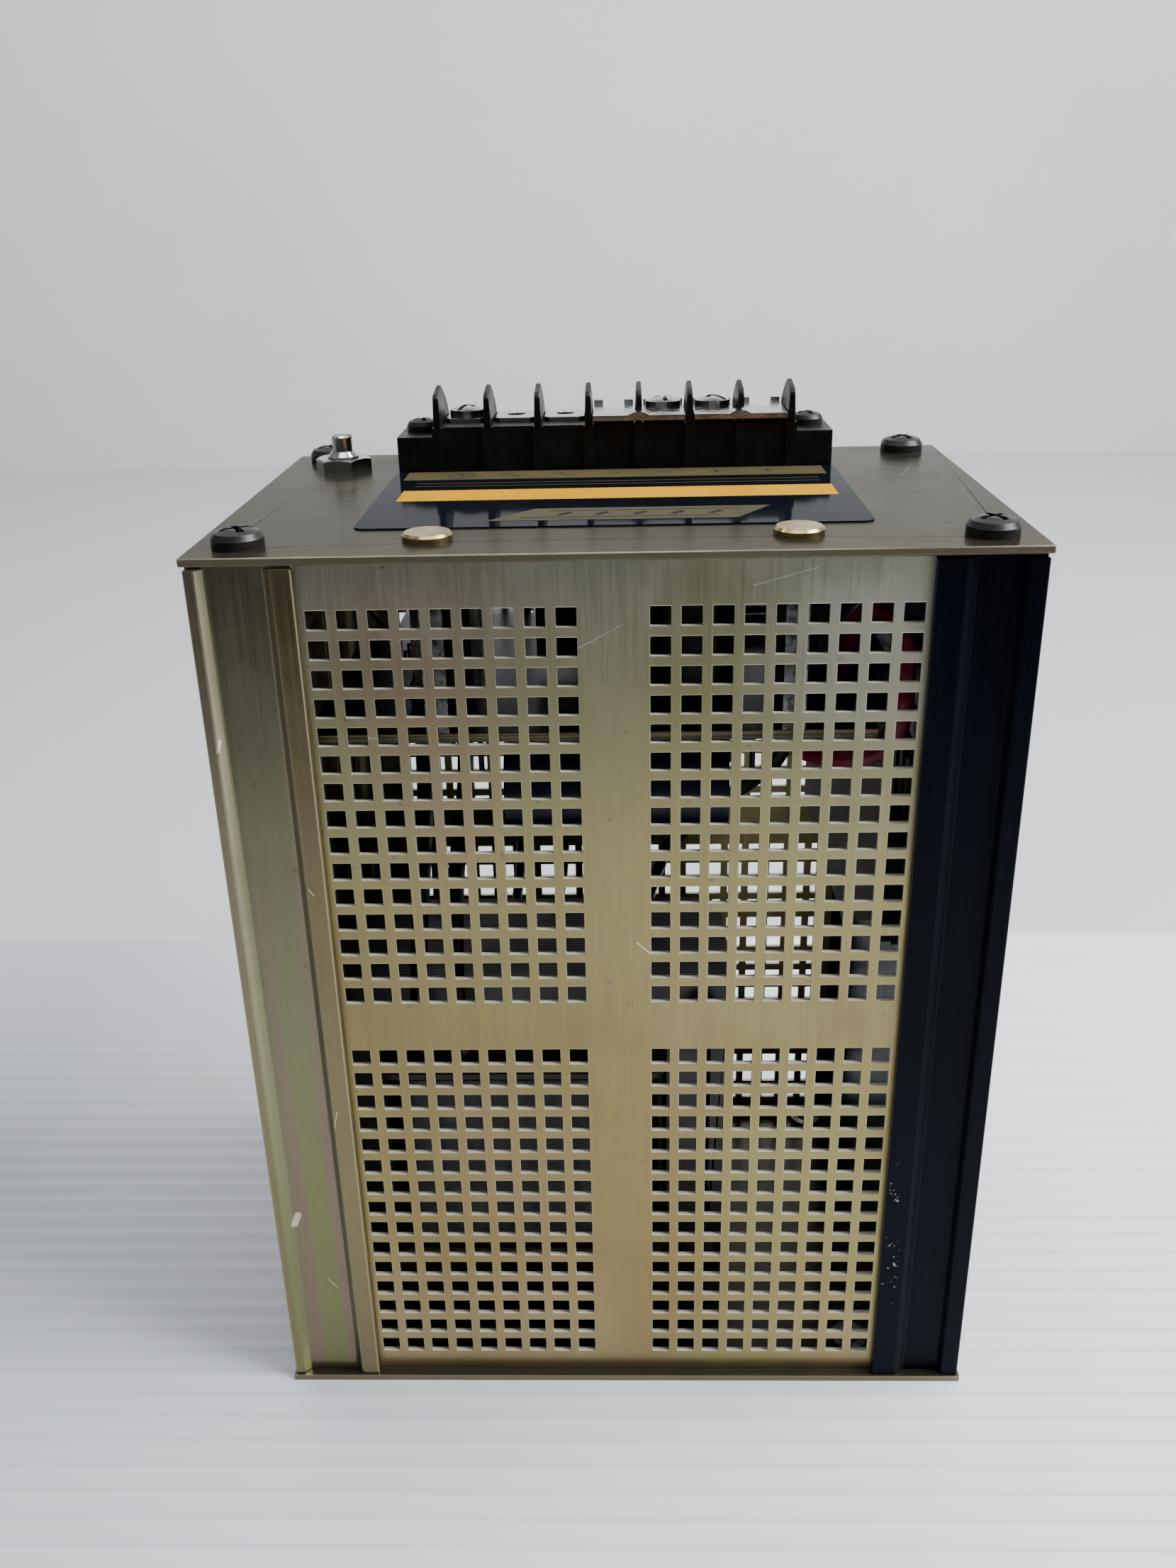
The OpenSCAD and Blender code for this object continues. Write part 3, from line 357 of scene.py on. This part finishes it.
def link_look():
    """Bright tin with a cut front edge that shows the brass under it."""
    m = Mat("tinned_brass", (0.55, 0.54, 0.54), 0.2, 1.0)
    film = m.noise(300, 4, 0.6)
    tint = m.mix(m.range(film, 0.5, 0.72, 0.0, 0.45), (0.55, 0.54, 0.54), (0.36, 0.30, 0.23))
    cut = m.math("MULTIPLY", m.facing("Y"), m.range(m.axis("Z"), 0.17290, 0.17320, 1.0, 0.0))
    brass = m.mix(m.range(m.noise(700, 3), 0.4, 0.6, 0.0, 1.0), (0.40, 0.28, 0.14), (0.28, 0.19, 0.10))
    tint = m.mix(cut, tint, brass)
    m.color(tint)
    m.rough(m.math("ADD", m.range(m.noise(600, 3), 0.3, 0.7, 0.12, 0.32), m.math("MULTIPLY", cut, 0.25)))
    m.bump(m.noise(1500, 2), 0.00003, 0.25)
    return m.m


def phenolic():
    m = Mat("black_phenolic", (0.004, 0.004, 0.005), 0.42, 0.0, Specular_IOR_Level=0.22)
    dust = m.noise(260, 5, 0.65)
    m.color(m.mix(m.range(dust, 0.5, 0.8, 0.0, 0.25), (0.0025, 0.0028, 0.0032), (0.016, 0.016, 0.015)))
    m.rough(m.range(dust, 0.35, 0.7, 0.32, 0.55))
    m.bump(m.noise(1800, 3), 0.00005, 0.25)
    return m.m


def plain(name, color, second, rough, scale, metal=0.0, bump=0.00006, spec=0.5):
    m = Mat(name, color, rough, metal, Specular_IOR_Level=spec)
    n = m.noise(scale, 4, 0.6)
    m.color(m.mix(m.range(n, 0.35, 0.65, 0.0, 1.0), color, second))
    m.rough(m.range(m.noise(scale * 2.3, 3), 0.3, 0.7, max(rough - 0.08, 0.05), rough + 0.1))
    m.bump(n, bump, 0.4)
    return m.m


def label_film():
    m = Mat("label_film", (0.003, 0.004, 0.006), 0.06, 0.0, Specular_IOR_Level=0.012)
    smudge = m.noise(38, 4, 0.6)
    m.color(m.mix(m.range(smudge, 0.45, 0.8, 0.0, 0.3), (0.003, 0.004, 0.006), (0.009, 0.010, 0.014)))
    m.rough(m.range(smudge, 0.35, 0.75, 0.03, 0.12))
    m.bump(m.noise(60, 2), 0.0002, 0.12)
    return m.m


def laminations():
    m = Mat("laminations", (0.10, 0.10, 0.11), 0.5, 0.6)
    bands = m.wave(300, "Y", 0.3)
    m.color(m.mix(bands, (0.05, 0.05, 0.055), (0.15, 0.145, 0.14)))
    m.rough(m.range(m.noise(150, 3), 0.3, 0.7, 0.35, 0.6))
    m.bump(bands, 0.0001, 0.5)
    return m.m


def board_face():
    m = Mat("board_face", (0.05, 0.16, 0.08), 0.3, 0.0)
    traces = m.voronoi(150, "DISTANCE_TO_EDGE")
    tint = m.mix(m.range(traces, 0.04, 0.08, 0.0, 1.0), (0.010, 0.022, 0.008), (0.004, 0.012, 0.006))
    weave = m.noise(900, 2)
    layers = m.noise(1, 3, 0.6, m.mapped((40, 40, 4200)))
    rim = m.range(m.math("ABSOLUTE", m.normal("Z", "Normal")), 0.4, 0.6, 1.0, 0.0)
    cut = m.mix(m.range(layers, 0.4, 0.6, 0.0, 1.0), (0.50, 0.33, 0.14), (0.07, 0.11, 0.05))
    tint = m.mix(rim, tint, cut)
    m.color(tint)
    m.bump(weave, 0.00008, 0.3)
    return m.m


anodise_mat = black_anodise()
oxide_mat = black_oxide()
nickel_mat = bright_metal("bright_nickel", (0.50, 0.49, 0.47), 0.14)
tin_mat = link_look()
zinc_mat = bright_metal("clear_zinc", (0.45, 0.45, 0.45), 0.26)
yellow_mat = bright_metal("yellow_zinc", (0.44, 0.36, 0.15), 0.22, (0.36, 0.20, 0.15), 260)
phenolic_mat = phenolic()
label_mat = label_film()

LOOKS = {
    "bottom_plate": plate_mat, "top_plate": plate_mat, "left_rail": rail_mat,
    "right_heatsink": anodise_mat, "front_cover": cover_mat, "back_cover": cover_mat,
    "top_screws": oxide_mat, "bottom_screws": oxide_mat, "block_screws": oxide_mat,
    "mount_nuts": zinc_mat, "plate_rivets": yellow_mat, "label": label_mat,
    "terminal_block": phenolic_mat, "terminal_barriers": phenolic_mat, "terminal_plates": nickel_mat,
    "ground_screw": nickel_mat, "minus_sense_screw": nickel_mat, "plus_sense_screw": nickel_mat,
    "minus_link": tin_mat, "plus_link": tin_mat,
    "pot_housing": zinc_mat, "pot_bushing": nickel_mat, "pot_nut": nickel_mat, "pot_shaft": nickel_mat,
    "pot_rotor": plain("rotor_board", (0.26, 0.14, 0.06), (0.18, 0.09, 0.04), 0.5, 600),
    "pot_track": plain("carbon_track", (0.06, 0.05, 0.05), (0.10, 0.08, 0.07), 0.45, 900),
    "board_standoffs": zinc_mat, "board_screws": zinc_mat, "circuit_board": board_face(),
    "transformer_core": laminations(),
    "bobbin": plain("bobbin_nylon", (0.10, 0.08, 0.035), (0.07, 0.055, 0.025), 0.4, 120),
    "winding": plain("enamel_wire", (0.16, 0.055, 0.025), (0.10, 0.03, 0.015), 0.3, 300),
    "winding_wrap": plain("varnished_tape", (0.015, 0.016, 0.012), (0.03, 0.028, 0.018), 0.25, 80),
    "transformer_brackets": plain("bracket_steel", (0.14, 0.14, 0.14), (0.09, 0.09, 0.09), 0.4, 90, 0.6),
    "core_bolts": zinc_mat, "core_nuts": zinc_mat, "foot_screws": zinc_mat, "foot_nuts": zinc_mat,
    "main_capacitor": plain("blue_sleeve", (0.004, 0.008, 0.045), (0.003, 0.006, 0.03), 0.25, 60),
    "output_capacitors": plain("black_sleeve", (0.008, 0.008, 0.010), (0.015, 0.015, 0.018), 0.25, 60),
    "film_capacitors": plain("olive_dip", (0.026, 0.023, 0.010), (0.020, 0.018, 0.008), 0.35, 45,
                             bump=0.00002, spec=0.2),
    "rectifier_bridge": plain("moulded_epoxy", (0.02, 0.02, 0.02), (0.035, 0.035, 0.034), 0.5, 700),
    "regulator_ic": plain("ic_epoxy", (0.022, 0.022, 0.022), (0.03, 0.03, 0.03), 0.55, 900),
    "resistors": plain("resistor_body", (0.16, 0.11, 0.06), (0.12, 0.08, 0.04), 0.4, 300),
    "power_resistors": plain("cement_body", (0.20, 0.19, 0.17), (0.14, 0.135, 0.12), 0.75, 400),
    "diodes": plain("diode_body", (0.025, 0.025, 0.025), (0.04, 0.04, 0.04), 0.35, 500),
    "pass_transistors": plain("power_epoxy", (0.02, 0.02, 0.02), (0.03, 0.03, 0.03), 0.45, 800),
    "mica_insulators": plain("mica_sheet", (0.5, 0.47, 0.40), (0.42, 0.40, 0.34), 0.2, 90),
    "transistor_screws": zinc_mat,
    "insulating_card": plain("grey_card", (0.22, 0.205, 0.175), (0.175, 0.162, 0.138), 0.7, 150),
    "primary_leads": plain("grey_pvc", (0.08, 0.08, 0.08), (0.05, 0.05, 0.05), 0.4, 200),
    "board_lead": plain("crimson_pvc", (0.30, 0.006, 0.040), (0.22, 0.004, 0.030), 0.35, 200),
    "coil_leads": plain("glossy_pvc", (0.006, 0.006, 0.006), (0.012, 0.012, 0.012), 0.2, 120),
    "transistor_leads": plain("black_pvc", (0.02, 0.02, 0.02), (0.03, 0.03, 0.03), 0.4, 200),
    "pot_leads": plain("white_pvc", (0.25, 0.25, 0.23), (0.2, 0.2, 0.18), 0.4, 200),
}
for node, mat in LOOKS.items():
    o = NODES[node]
    o.data.materials.clear()
    o.data.materials.append(mat)


# --------------------------------------------------------------- label artwork

def flat_piece(name, outlines, z, thick, mat, body="case"):
    """Thin raised print: each outline is a list of (x, y) in mm, extruded from z upwards."""
    bm = bmesh.new()
    for pts in outlines:
        low = [bm.verts.new((x * MM, y * MM, z)) for x, y in pts]
        high = [bm.verts.new((x * MM, y * MM, z + thick)) for x, y in pts]
        n = len(pts)
        bm.faces.new(high)
        bm.faces.new(low[::-1])
        for i in range(n):
            bm.faces.new((low[i], low[(i + 1) % n], high[(i + 1) % n], high[i]))
    bmesh.ops.recalc_face_normals(bm, faces=bm.faces)
    me = bpy.data.meshes.new(name)
    bm.to_mesh(me)
    bm.free()
    me.materials.append(mat)
    o = bpy.data.objects.new(name, me)
    bpy.context.collection.objects.link(o)
    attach(o, body)


def rect(x0, y0, x1, y1):
    return [(x0, y0), (x1, y0), (x1, y1), (x0, y1)]


def bar(x0, y0, x1, y1, w):
    d = Vector((x1 - x0, y1 - y0)).normalized()
    n = Vector((-d.y, d.x)) * w / 2
    return [(x0 + n.x, y0 + n.y), (x0 - n.x, y0 - n.y), (x1 - n.x, y1 - n.y), (x1 + n.x, y1 + n.y)]


def arc_bars(cx, cy, r, w, start, end, n):
    pts = [(cx + r * math.cos(math.radians(start + (end - start) * i / n)),
            cy + r * math.sin(math.radians(start + (end - start) * i / n))) for i in range(n + 1)]
    return [bar(*pts[i], *pts[i + 1], w) for i in range(n)]


def print_ink(name, color, second, rough):
    """Flat print, without a gloss of its own."""
    return plain(name, color, second, rough, 90, bump=0.00002, spec=0.0)


gold_ink = print_ink("gold_foil", (0.070, 0.063, 0.043), (0.058, 0.052, 0.036), 0.4)
amber_ink = print_ink("amber_foil", (0.50, 0.245, 0.010), (0.44, 0.21, 0.008), 0.4)
# Dull gold print, darkened further as a painted shadow of the terminal block on the legend strip; the rules
# share this colour.
dull_gold_in_painted_shadow = print_ink("dull_gold_foil_painted_shadow", (0.075, 0.060, 0.030), (0.060, 0.048, 0.025), 0.4)
dark_ink = print_ink("dark_print", (0.02, 0.02, 0.02), (0.03, 0.03, 0.03), 0.3)

FOIL, RULE, INK = 0.04 * MM, 0.03 * MM, 0.02 * MM
label_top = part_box("label")[1].z
front = round(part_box("top_plate")[0].y / MM, 2)
plaque = [(-20.5, front + 20.8), (20.0, front + 20.8), (26.0, front + 29.7), (-13.0, front + 29.7)]
flat_piece("label_plaque", [plaque], label_top, FOIL, gold_ink)
flat_piece("label_plaque_lines",
           [bar(-15.0, front + 22.8, 17.5, front + 22.8, 0.35),
            bar(-10.5, front + 27.7, 21.5, front + 27.7, 0.35)]
           + [bar(-9.0 + 6.2 * i, front + 24.3, -7.0 + 6.2 * i, front + 26.3, 1.1) for i in range(5)],
           label_top + FOIL, INK, dark_ink)
flat_piece("label_stripe", [rect(-37.5, front + 37.4, 38.5, front + 46.4)],
           label_top, FOIL, amber_ink)
flat_piece("label_legend_strip", [rect(-39.0, front + 56.2, 39.0, front + 64.0)],
           label_top, FOIL, dull_gold_in_painted_shadow)
flat_piece("label_rules", [bar(-36.0, front + 50.2, 37.0, front + 50.2, 0.3),
                           bar(-36.0, front + 52.8, 37.0, front + 52.8, 0.3)],
           label_top, RULE, dull_gold_in_painted_shadow)

# A sign in front of each terminal, in mm
PITCH = 9.525
TX = [(i - 3) * PITCH for i in range(7)]
LY = front + 60.2
marks = arc_bars(TX[0], LY, 2.4, 0.3, 0, 360, 24)
marks += [bar(TX[0], LY - 1.6, TX[0], LY + 0.2, 0.3)]
EARTH_BARS = [(1.4, 0.2), (0.9, 0.8), (0.4, 1.4)]
marks += [bar(TX[0] - half, LY + rise, TX[0] + half, LY + rise, 0.3) for half, rise in EARTH_BARS]
for i in (1, 2):
    marks += arc_bars(TX[i] - 0.9, LY, 0.9, 0.35, 0, 180, 8)
    marks += arc_bars(TX[i] + 0.9, LY, 0.9, 0.35, 180, 360, 8)
for i in (3, 4, 5, 6):
    marks.append(bar(TX[i] - 1.3, LY, TX[i] + 1.3, LY, 0.45))
for i in (5, 6):
    marks += [bar(TX[i], LY - 1.3, TX[i], LY - 0.25, 0.45), bar(TX[i], LY + 0.25, TX[i], LY + 1.3, 0.45)]
flat_piece("label_legend_marks", marks, label_top + FOIL, INK, dark_ink)

BEVELS = {"front_cover": 0.07, "back_cover": 0.07, "top_plate": 0.16, "bottom_plate": 0.16, "left_rail": 0.18,
          "right_heatsink": 0.18, "terminal_block": 0.22, "terminal_barriers": 0.22, "minus_link": 0.10,
          "plus_link": 0.10, "terminal_plates": 0.10, "film_capacitors": 0.8, "power_resistors": 0.4,
          "circuit_board": 0.1, "insulating_card": 0.1, "transformer_core": 0.3}

WELD_GAP = 0.000005
BEVEL_ANGLE, SMOOTH_ANGLE = math.radians(35), math.radians(28)

# The CAD mesh is split at each face, so it is welded before its edges are bevelled
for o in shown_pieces():
    if o.type != "MESH" or "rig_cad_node" not in o:
        continue
    if o["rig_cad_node"] in BEVELS:
        for p in o.data.polygons:
            p.use_smooth = False
        weld = o.modifiers.new("weld", "WELD")
        weld.merge_threshold = WELD_GAP
        bevel = o.modifiers.new("edges", "BEVEL")
        bevel.width = BEVELS[o["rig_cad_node"]] * MM
        bevel.segments = 1
        bevel.limit_method = "ANGLE"
        bevel.angle_limit = BEVEL_ANGLE
        continue
    for p in o.data.polygons:
        p.use_smooth = True
    o.data.set_sharp_from_angle(angle=SMOOTH_ANGLE)


# --------------------------------------------------------------------- stage

def stage_plane(name, corners, mat):
    me = bpy.data.meshes.new(name)
    me.from_pydata(corners, [], [(0, 1, 2, 3)])
    me.materials.append(mat)
    o = bpy.data.objects.new(name, me)
    bpy.context.collection.objects.link(o)


# The wall stands behind every orbiting camera, so that it never hides the object
HALF_X, FLOOR_Y, WALL_Y, WALL_H = 1.5, -0.34, 0.95, 1.4
RIBS_END = 0.127


def floor_mat():
    m = Mat("pale_floor", (0.78, 0.80, 0.84), 0.30)
    ribs = m.wave(58, "Y")
    near = m.range(m.axis("Y"), RIBS_END, RIBS_END + 0.003, 1.0, 0.0)
    grime = m.noise(7, 4, 0.6)
    tint = m.mix(m.range(ribs, 0.80, 1.0, 0.0, 0.6), (0.80, 0.83, 0.88), (0.64, 0.68, 0.75))
    # Painted shadow: the floor is darkened towards -X, on the side away from the key light.
    tint = m.mix(m.range(m.axis("X"), 0.00, -0.16, 0.0, 0.75), tint, (0.40, 0.42, 0.45))
    tint = m.mix(m.range(grime, 0.55, 0.75, 0.0, 0.12), tint, (0.50, 0.50, 0.48))
    m.color(m.mix(near, (0.60, 0.60, 0.61), tint))
    m.bump(m.math("MULTIPLY", ribs, near), 0.0004, 0.5)
    return m.m


foot = [(-HALF_X, WALL_Y, 0), (HALF_X, WALL_Y, 0)]
stage_plane("floor", [(-HALF_X, FLOOR_Y, 0), (HALF_X, FLOOR_Y, 0), *foot[::-1]], floor_mat())
stage_plane("wall", [*foot, (HALF_X, WALL_Y, WALL_H), (-HALF_X, WALL_Y, WALL_H)],
            plain("pale_wall", (0.78, 0.78, 0.78), (0.75, 0.75, 0.76), 0.7, 6))


def area(name, loc, target, size, power, color=(1, 1, 1)):
    d = bpy.data.lights.new(name, "AREA")
    d.shape = "RECTANGLE"
    d.size, d.size_y = size
    d.energy = power
    d.color = color
    o = bpy.data.objects.new(name, d)
    o.location = loc
    o.rotation_euler = (Vector(target) - Vector(loc)).to_track_quat("-Z", "Y").to_euler()
    bpy.context.collection.objects.link(o)


area("key", (0.60, -0.10, 0.75), (0.05, 0, 0.05), (0.55, 0.55), 18.0, (0.95, 0.98, 1.0))
area("sky", (-0.05, -0.05, 0.95), (-0.05, 0.05, 0.05), (0.5, 0.4), 2.6, (0.95, 0.97, 1.0))
area("wall wash", (0.0, 0.30, 1.05), (0.0, WALL_Y, 0.25), (1.6, 0.12), 8.0)

world = bpy.data.worlds.new("world")
bpy.context.scene.world = world
world.use_nodes = True
wt = world.node_tree
direction = wt.nodes.new("ShaderNodeTexCoord").outputs["Generated"]
split = wt.nodes.new("ShaderNodeSeparateXYZ")
wt.links.new(direction, split.inputs[0])
fade = wt.nodes.new("ShaderNodeMapRange")
for key, value in (("From Min", -0.25), ("From Max", 0.5), ("To Min", 0.03), ("To Max", 0.30)):
    fade.inputs[key].default_value = value
wt.links.new(split.outputs["Z"], fade.inputs["Value"])
wt.nodes["Background"].inputs["Color"].default_value = (0.90, 0.94, 1.0, 1)
wt.links.new(fade.outputs["Result"], wt.nodes["Background"].inputs["Strength"])

# --------------------------------------------------------------------- camera

# Place, direction and lens are fitted to the photo and rounded
cam = bpy.data.cameras.new("camera")
cam.lens = 31.09
cam.sensor_width = 36
cam.clip_start = 0.01
cam_obj = bpy.data.objects.new("camera", cam)
bpy.context.collection.objects.link(cam_obj)
right = Vector((0.99951, 0.02268, -0.02174)).normalized()
back = Vector((0.02947, -0.91675, 0.39838)).normalized()
up = back.cross(right).normalized()
turn = Matrix((right, up, back)).transposed().to_4x4()
cam_obj.matrix_world = Matrix.Translation((0.00194, -0.23832, 0.21143)) @ turn
bpy.context.scene.camera = cam_obj
